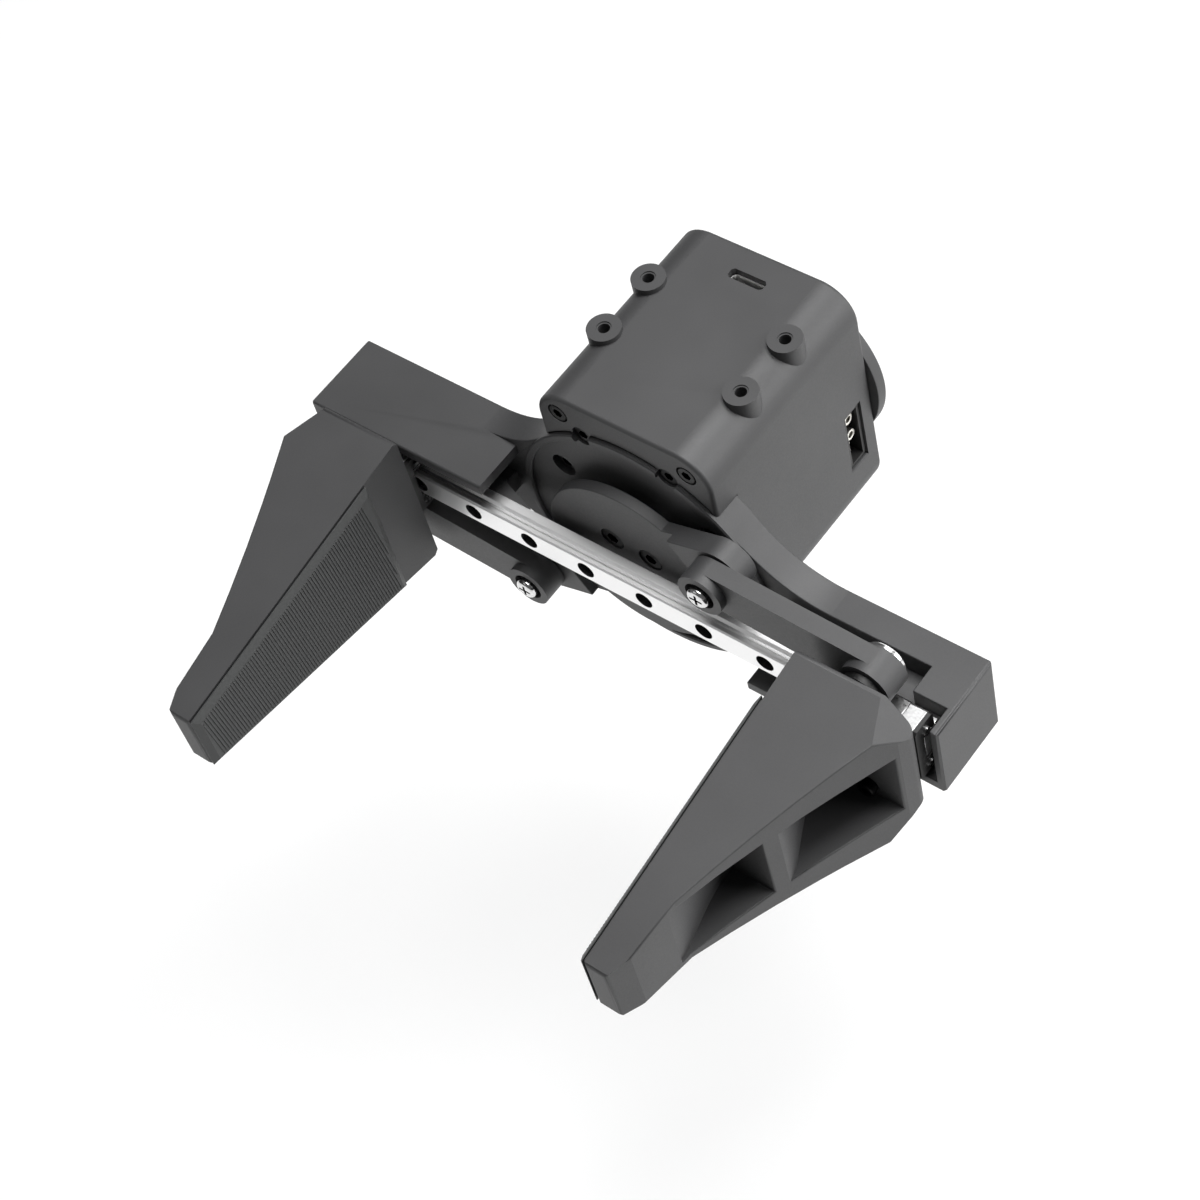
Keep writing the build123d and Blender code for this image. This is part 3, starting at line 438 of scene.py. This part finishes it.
def dress_node(name: str, finish: Finish) -> bpy.types.Object:
    """Give a CAD node a finish.

    Args:
        name: the node.
        finish: its finish.

    Returns:
        The node's object.
    """
    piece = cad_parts[name]
    for place in range(len(piece.material_slots)):
        piece.material_slots[place].material = finish.material()
    if not piece.material_slots:
        piece.data.materials.append(finish.material())
    LOG.info("node %s: %s", name, finish.name)
    return piece


def finish_object(name: str, mesh: bpy.types.Mesh) -> bpy.types.Object:
    """Put a mesh into the scene as a named piece.

    Args:
        name: the piece's name.
        mesh: its mesh.

    Returns:
        The new piece.
    """
    piece = bpy.data.objects.new(name, mesh)
    bpy.context.scene.collection.objects.link(piece)
    return piece


def smooth_by_area(piece: bpy.types.Object, sharp_deg: float = 50.0) -> None:
    """Shade a piece smoothly, with flat faces kept flat by weighting normals by area.

    Args:
        piece: the piece.
        sharp_deg: angle between faces from which an edge stays hard.
    """
    for face in piece.data.polygons:
        face.use_smooth = True
    piece.data.set_sharp_from_angle(angle=math.radians(sharp_deg))
    weighting = piece.modifiers.new("area_normals", "WEIGHTED_NORMAL")
    weighting.mode = "FACE_AREA"
    weighting.weight = 100
    weighting.keep_sharp = True


class TrueNormals:
    """The exact surface normals of a CAD node, looked up by place and facing."""

    def __init__(self, source: bpy.types.Mesh) -> None:
        """Read the normals at every face corner.

        Args:
            source: the CAD node's mesh.
        """
        self.corners: list[tuple[Vector, Vector]] = []
        self.tree = KDTree(len(source.loops))
        for face in source.polygons:
            for loop in face.loop_indices:
                place = source.vertices[source.loops[loop].vertex_index].co
                self.tree.insert(place, len(self.corners))
                normal = Vector(source.corner_normals[loop].vector)
                self.corners.append((Vector(face.normal), normal))
        self.tree.balance()

    def at(self, place: Vector, facing: Vector, reach_mm: float = 1.5) -> Vector:
        """Normal of the CAD surface that faces the same way nearby.

        Args:
            place: where it is wanted.
            facing: normal of the flat face that stands for the surface there.
            reach_mm: how far to look.

        Returns:
            The surface's normal, or the face's own where nothing matches.
        """
        best = None
        for _, index, distance in self.tree.find_n(place, NEAR_CORNERS):
            face_normal, normal = self.corners[index]
            turned = 1.0 - face_normal.dot(facing)
            if distance < reach_mm * MM and turned < FACING_SLACK:
                misfit = distance / MM + FACING_WEIGHT * turned
                if best is None or misfit < best[0] - 1e-4:
                    best = (misfit, normal)
        return best[1] if best else facing

    def apply(self, mesh: bpy.types.Mesh, eased: set[int]) -> None:
        """Give a mesh the CAD surface's normals, blended across its eased edges.

        Args:
            mesh: the copy.
            eased: numbers of the faces that ease an edge.
        """
        exact: dict[int, list[Vector]] = {}
        loose: dict[int, Vector] = {}
        normals = [Vector((0.0, 0.0, 1.0))] * len(mesh.loops)
        for face in mesh.polygons:
            for loop in face.loop_indices:
                vertex = mesh.loops[loop].vertex_index
                if face.index in eased:
                    weighted = Vector(face.normal) * face.area
                    loose[vertex] = loose.get(vertex, Vector()) + weighted
                else:
                    normals[loop] = self.at(mesh.vertices[vertex].co, Vector(face.normal))
                    exact.setdefault(vertex, []).append(normals[loop])
        for face in mesh.polygons:
            if face.index not in eased:
                continue
            for loop in face.loop_indices:
                vertex = mesh.loops[loop].vertex_index
                near = [n for n in exact.get(vertex, []) if n.dot(face.normal) > 0.3]
                total = sum(near, Vector()) if near else loose[vertex]
                normals[loop] = total.normalized() if total.length > 0 else Vector(face.normal)
        for face in mesh.polygons:
            face.use_smooth = True
        mesh.normals_split_custom_set([tuple(n) for n in normals])


def eased_copy(node: str, edge_mm: float, segments: int = 2, crease_deg: float = 28.0,
               shortest_mm: float = 0.9, round_mm: float = 0.0,
               rounded: Callable[[Vector, Vector], bool] | None = None) -> bpy.types.Object:
    """Copy a CAD node and ease its sharp edges as a deburring pass does.

    Args:
        node: the CAD node.
        edge_mm: width of the eased edge.
        segments: faces across it.
        crease_deg: angle between faces from which an edge counts as sharp.
        shortest_mm: edges shorter than this, as round small holes, stay sharp, and so does
            every edge with a neighbour too short to take the easing.
        round_mm: radius for the edges that are rounded more.
        rounded: tells from an edge's middle and direction, in millimetres, whether it is one.

    Returns:
        The new piece, at the node's own place.
    """
    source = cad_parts[node]
    form = bmesh.new()
    form.from_mesh(source.data)
    bmesh.ops.remove_doubles(form, verts=form.verts, dist=1e-6)
    bmesh.ops.dissolve_limit(form, angle_limit=math.radians(FLAT_DEG), verts=form.verts,
                             edges=form.edges, delimit=set())
    crease = math.radians(crease_deg)
    eased_faces = []
    if rounded:
        wide = []
        for edge in form.edges:
            first, last = (vert.co / MM for vert in edge.verts)
            if (edge.is_manifold and edge.is_convex and edge.calc_face_angle(0.0) > crease
                    and rounded((first + last) / 2, (last - first).normalized())):
                wide.append(edge)
        LOG.info("%s: %d edges rounded", node, len(wide))
        done = bmesh.ops.bevel(form, geom=wide, offset=round_mm * MM, offset_type="OFFSET",
                               segments=ROUND_SEGMENTS, profile=0.5, affect="EDGES",
                               clamp_overlap=False)
        eased_faces.extend(done["faces"])
    room = CROWDING * edge_mm * MM
    crowded = {vert for edge in form.edges if edge.calc_length() < room for vert in edge.verts}
    sharp = [edge for edge in form.edges
             if edge.is_manifold and edge.is_convex and edge.calc_face_angle(0.0) > crease
             and edge.calc_length() > shortest_mm * MM and not crowded.intersection(edge.verts)]
    made = bmesh.ops.bevel(form, geom=sharp, offset=edge_mm * MM, offset_type="OFFSET",
                           segments=segments, profile=0.5, affect="EDGES", clamp_overlap=False)
    form.faces.index_update()
    eased_faces.extend(made["faces"])
    eased = {face.index for face in eased_faces if face.is_valid}
    mesh = bpy.data.meshes.new(f"{node}_eased")
    form.to_mesh(mesh)
    form.free()
    TrueNormals(source.data).apply(mesh, eased)
    piece = finish_object(f"{node}_eased", mesh)
    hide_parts(node)
    return piece


@dataclass
class Studio:
    """Camera, pale floor and soft lamps."""

    lens_mm: float = 81.23
    camera_place: tuple[float, float, float] = (0.255806, -0.271722, 0.430390)
    right: tuple[float, float, float] = (0.78184265, 0.59632179, -0.18199558)
    up: tuple[float, float, float] = (-0.41089058, 0.71236445, 0.56895151)
    back: tuple[float, float, float] = (0.46892536, -0.37005029, 0.80197991)
    floor_height: float = -0.16
    floor_half: float = 3.0
    floor_tone: float = 0.42
    floor_spill: float = 0.05
    floor_mirrored: float = 0.88
    floor_glow: float = 0.54
    dome: float = 0.14

    def build(self) -> None:
        """Make the camera, the floor, the world and the lamps."""
        self.build_camera()
        self.build_floor()
        self.build_world()
        self.build_lamps()

    def build_camera(self) -> None:
        """Stand the camera where the photograph was taken from."""
        data = bpy.data.cameras.new("camera")
        data.lens = self.lens_mm
        data.sensor_width = 36.0
        data.clip_start = 0.01
        data.clip_end = 20.0
        camera = bpy.data.objects.new("camera", data)
        turn = Matrix((self.right, self.up, self.back)).transposed()
        camera.matrix_world = Matrix.Translation(self.camera_place) @ turn.to_4x4()
        bpy.context.scene.collection.objects.link(camera)
        bpy.context.scene.camera = camera

    def build_floor(self) -> None:
        """Lay the pale floor well below the part, as for a product shot on a clear stand."""
        half = self.floor_half
        corners = [(-half, -half), (half, -half), (half, half), (-half, half)]
        mesh = bpy.data.meshes.new("floor")
        mesh.from_pydata([(x, y, self.floor_height) for x, y in corners], [], [(0, 1, 2, 3)])
        floor = finish_object("floor", mesh)
        material, tree, _ = new_material("pale_floor")
        path = add_node(tree, "ShaderNodeLightPath")
        paper = add_node(tree, "ShaderNodeBsdfDiffuse", {"Color": (*[self.floor_tone] * 3, 1.0)})
        dim, mirrored, glow = (
            add_node(tree, "ShaderNodeEmission", {"Color": WHITE, "Strength": strength})
            for strength in (self.floor_spill, self.floor_mirrored, self.floor_glow))
        lit = add_node(tree, "ShaderNodeMixShader",
                       links={0: path.outputs["Is Glossy Ray"], 1: dim.outputs[0],
                              2: mirrored.outputs[0]})
        shine = add_node(tree, "ShaderNodeMixShader",
                         links={0: path.outputs["Is Camera Ray"], 1: lit.outputs[0],
                                2: glow.outputs[0]})
        both = add_node(tree, "ShaderNodeAddShader",
                        links={0: paper.outputs[0], 1: shine.outputs[0]})
        close_material(tree, both)
        floor.data.materials.append(material)

    def build_world(self) -> None:
        """White for the camera, a soft grey dome for everything else."""
        world = bpy.data.worlds.new("studio")
        world.use_nodes = True
        bpy.context.scene.world = world
        tree = world.node_tree
        tree.nodes.clear()
        path = add_node(tree, "ShaderNodeLightPath")
        dome = add_node(tree, "ShaderNodeBackground",
                        {"Color": WHITE, "Strength": self.dome})
        white = add_node(tree, "ShaderNodeBackground",
                         {"Color": WHITE, "Strength": 1.0})
        mix = add_node(tree, "ShaderNodeMixShader",
                       links={0: path.outputs["Is Camera Ray"], 1: dome.outputs[0],
                              2: white.outputs[0]})
        add_node(tree, "ShaderNodeOutputWorld", links={"Surface": mix.outputs[0]})

    def build_lamps(self) -> None:
        """Hang large soft lamps: name, place, aim, size and power."""
        aim = Vector((0.0, -0.06, 0.0))
        lamps = [
            ("overhead", (0.1, 0.15, 0.9), 0.6, 13.0),
            ("right_rear", (0.8, 0.55, 0.38), 0.7, 11.0),
            ("front_left", (-0.5, -0.8, 0.6), 0.5, 0.6),
        ]
        for name, place, size, power in lamps:
            data = bpy.data.lights.new(name, "AREA")
            data.shape = "SQUARE"
            data.size = size
            data.energy = power
            lamp = bpy.data.objects.new(name, data)
            lamp.location = place
            lamp.rotation_mode = "QUATERNION"
            lamp.rotation_quaternion = (aim - Vector(place)).to_track_quat("-Z", "Y")
            bpy.context.scene.collection.objects.link(lamp)


@dataclass
class EasedGroup:
    """Machined pieces of one body whose edges are eased."""

    body: str
    nodes: dict[str, tuple[float, Finish]] = field(default_factory=dict)
    rounds: dict[str, tuple[float, Callable[[Vector, Vector], bool]]] = field(
        default_factory=dict)
    plain: dict[str, Finish] = field(default_factory=dict)

    def build(self) -> list[str]:
        """Make the eased copies and dress the nodes that stay as they are.

        Returns:
            The names of the pieces.
        """
        made = []
        for node, (edge, finish) in self.nodes.items():
            radius, rule = self.rounds.get(node, (0.0, None))
            piece = eased_copy(node, edge, round_mm=radius, rounded=rule)
            dress(piece, finish)
            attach(piece, self.body)
            made.append(piece.name)
        for node, finish in self.plain.items():
            made.append(dress_node(node, finish).name)
        return made


@dataclass
class GroundRail:
    """The rail: ground outside, with painted shade on the faces inside its bores."""

    bore_radius: float = 2.1
    pitch: float = 15.0
    count: int = 10
    easing: float = 0.1
    slack: float = 0.02

    def build(self) -> str:
        """Ease the rail's edges and paint shade onto the faces inside its bores.

        Returns:
            The piece's name.
        """
        piece = eased_copy("linear_rail", self.easing)
        dress(piece, RAIL_FINISH)
        # The second material is painted shade for the faces inside the bores.
        piece.data.materials.append(BORE_PAINTED_SHADE_FINISH.material())
        front = LAYOUT.point(0.0, self.slack, 0.0)
        for face in piece.data.polygons:
            x = face.center.x / MM + self.pitch * self.count / 2
            off_x = abs(x % self.pitch - self.pitch / 2)
            off_z = abs(face.center.z - front.z) / MM
            inside = math.hypot(off_x, off_z) < self.bore_radius + self.slack
            if inside and face.center.y > front.y:
                face.material_index = 1
        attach(piece, "base")
        return piece.name


@dataclass
class GripPad:
    """Rubber pad on a finger: a bevelled plate, a narrower layer behind it and fine ribs.

    Its outline follows the finger, wide at the root and narrow at the tip.
    """

    side: Side
    finger_inner: float = 50.4
    finger_rear: float = -3.2
    root_from: float = 11.2
    tip_to: float = 70.4
    root_half: float = 17.428
    tip_half: float = 7.799
    thickness: float = 1.9
    seam_width: float = 0.5
    seam_inset: float = 0.6
    rim: float = 1.35
    rib_pitch: float = 0.74
    rib_width: float = 0.44
    rib_height: float = 0.22
    rib_lean: float = 0.1
    rib_margin: float = 0.3
    rib_top_share: float = 0.45
    rib_root: float = 0.05
    lip_drop: float = 0.12
    lip_half: float = 0.1
    bevel_floor: float = 0.2

    def half_height(self, along: float) -> float:
        """Half the pad's height.

        Args:
            along: distance from the finger's rear.

        Returns:
            The half height there, in millimetres.
        """
        share = (along - self.root_from) / (self.tip_to - self.root_from)
        return self.root_half + (self.tip_half - self.root_half) * share

    def place(self, depth: float, along: float, height: float) -> Vector:
        """Turn pad coordinates into a place in the part's frame.

        Args:
            depth: distance from the finger's inner side towards the grip.
            along: distance from the finger's rear towards its tip.
            height: height above the pad's middle line.

        Returns:
            The place, in metres.
        """
        sign = self.side.sign
        return LAYOUT.point(sign * (self.finger_inner - depth), self.finger_rear - along,
                            sign * height)

    def outline(self, inset: float) -> list[tuple[float, float]]:
        """Corners of the pad's outline.

        Args:
            inset: how far they are set in, in millimetres.

        Returns:
            The corners, as along and height.
        """
        start = self.root_from + inset
        end = self.tip_to - inset
        high = self.half_height(start) - inset
        low = self.half_height(end) - inset
        return [(start, -high), (end, -low), (end, low), (start, high)]

    def layer(self, form: bmesh.types.BMesh, rings: Sequence[tuple[float, float]]) -> None:
        """Add one closed layer through rings of depth and inset.

        Args:
            form: the mesh that it joins.
            rings: depth and inset of each ring, from the finger outwards.
        """
        loops = []
        for depth, inset in rings:
            loops.append([form.verts.new(self.place(depth, along, height))
                          for along, height in self.outline(inset)])
        form.faces.new(loops[0])
        for lower, upper in zip(loops, loops[1:]):
            for i in range(4):
                j = (i + 1) % 4
                form.faces.new([lower[i], lower[j], upper[j], upper[i]])
        form.faces.new(list(reversed(loops[-1])))

    def rib(self, form: bmesh.types.BMesh, along: float, base: float) -> None:
        """Add one rib across the pad, cut off at the pad's tapering edges.

        Args:
            form: the mesh that it joins.
            along: distance of its middle from the finger's rear.
            base: depth of the face it stands on.
        """
        reach = self.half_height(along) - self.rim - self.rib_margin
        near = self.root_from + self.rim + self.rib_width
        far = self.tip_to - self.rim - self.rib_width
        low = max(-reach, (along - far) / self.rib_lean)
        high = min(reach, (along - near) / self.rib_lean)
        ends = []
        for height in (low, high):
            centre = along - self.rib_lean * height
            half = self.rib_width / 2
            root, top = base - self.rib_root, base + self.rib_height
            narrow = half * self.rib_top_share
            ring = [(root, centre - half), (root, centre + half),
                    (top, centre + narrow), (top, centre - narrow)]
            ends.append([form.verts.new(self.place(depth, where, height))
                         for depth, where in ring])
        first, last = ends
        form.faces.new(first)
        form.faces.new(list(reversed(last)))
        for i in range(4):
            j = (i + 1) % 4
            form.faces.new([first[i], first[j], last[j], last[i]])

    def build(self) -> str:
        """Make the pad and put it in place of its CAD solid.

        Returns:
            The piece's name.
        """
        form = bmesh.new()
        face = self.thickness - self.rib_height
        bevel = min(self.rim, face - self.seam_width - self.bevel_floor)
        self.layer(form, [(0.0, self.seam_inset), (self.seam_width, self.seam_inset)])
        self.layer(form, [(self.seam_width, 0.0), (face - bevel, 0.0),
                          (face - self.lip_drop, self.rim - self.lip_half),
                          (face, self.rim + self.lip_half)])
        first = self.root_from + self.rim + self.rib_pitch
        last = self.tip_to - self.rim - self.rib_pitch
        for number in range(int((last - first) / self.rib_pitch) + 1):
            along = first + number * self.rib_pitch
            self.rib(form, along, face)
        bmesh.ops.recalc_face_normals(form, faces=form.faces)
        node = f"{self.side.value}_finger_pad"
        mesh = bpy.data.meshes.new(f"{node}_ribbed")
        form.to_mesh(mesh)
        form.free()
        piece = finish_object(f"{node}_ribbed", mesh)
        smooth_by_area(piece, 20.0)
        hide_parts(node)
        dress(piece, RUBBER_FINISH)
        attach(piece, f"{self.side.value}_jaw")
        return piece.name


def finger_root_corner(middle: Vector, direction: Vector) -> bool:
    """The rear corners above and below each finger's root."""
    return middle.y > -LAYOUT.flange_depth - 3.3 and abs(direction.x) > 0.95


def jaw_pieces(side: Side) -> EasedGroup:
    """Machined pieces that slide with one jaw.

    Args:
        side: which jaw.

    Returns:
        The group of pieces.
    """
    name = side.value
    return EasedGroup(
        body=f"{name}_jaw",
        nodes={
            f"{name}_finger": (0.35, FINGER_FINISH),
            f"{name}_carriage": (0.15, CARRIAGE_FINISH),
            f"{name}_carriage_end_caps": (0.15, CAP_FINISH),
            f"{name}_jaw_pin": (0.15, PLATED_FINISH),
        },
        rounds={f"{name}_finger": (1.2, finger_root_corner)},
        plain={
            f"{name}_finger_screws": OXIDE_FINISH,
            f"{name}_carriage_seals": SEAL_FINISH,
            f"{name}_carriage_cap_screws": PLATED_FINISH,
            f"{name}_jaw_pin_washer": WASHER_PAINTED_SHADE_FINISH,
        },
    )


def link_pieces(side: Side) -> EasedGroup:
    """Machined pieces that swing with one link.

    Args:
        side: which link.

    Returns:
        The group of pieces.
    """
    name = side.value
    return EasedGroup(
        body=f"{name}_drive_link",
        nodes={f"{name}_link": (0.25, LINKAGE_FINISH)},
        plain={f"{name}_link_bushes": BRONZE_FINISH,
               f"{name}_crank_pin_screw": PLATED_FINISH},
    )


def crank_pieces() -> EasedGroup:
    """Machined pieces that turn with the crank.

    Returns:
        The group of pieces.
    """
    return EasedGroup(
        body="crank",
        nodes={"crank_disc": (0.25, LINKAGE_FINISH)},
        plain={"crank_screws": OXIDE_FINISH, "output_hub": STEEL_FINISH,
               "output_shaft": STEEL_FINISH},
    )


def base_pieces() -> EasedGroup:
    """Pieces that stay with the housing.

    Returns:
        The group of pieces.
    """
    return EasedGroup(
        body="base",
        nodes={
            "motor_housing": (0.4, BODY_FINISH),
            "front_cover": (0.4, BODY_FINISH),
            "rear_cover": (0.4, BODY_FINISH),
            "mounting_flange": (0.2, BODY_FINISH),
            "wing_bracket": (0.3, BODY_FINISH),
        },
        plain={
            "front_cover_screws": OXIDE_FINISH, "rear_cover_screws": OXIDE_FINISH,
            "flange_screws": OXIDE_FINISH, "bracket_screws": OXIDE_FINISH,
            "rim_screws": OXIDE_FINISH, "rail_screws": OXIDE_FINISH,
            "output_bearing": STEEL_FINISH, "gear_motor": STEEL_FINISH,
            "motor_screws": OXIDE_FINISH, "control_board": BOARD_FINISH,
            "board_posts": STEEL_FINISH, "usb_socket": SOCKET_FINISH,
            "power_socket": NYLON_FINISH, "power_contacts": CONTACT_FINISH,
        },
    )


def main() -> None:
    """Build the studio and every sub-assembly in order."""
    logging.basicConfig(level=logging.INFO, format="%(name)s: %(message)s")
    bpy.context.scene.view_settings.view_transform = "Standard"
    Studio().build()
    LOG.info("rail: %s", GroundRail().build())
    groups = [base_pieces(), crank_pieces()]
    for side in Side:
        groups.extend([jaw_pieces(side), link_pieces(side)])
        LOG.info("pad: %s", GripPad(side).build())
    for group in groups:
        for name in group.build():
            LOG.info("%s: %s", group.body, name)


if __name__ == "__main__":
    main()
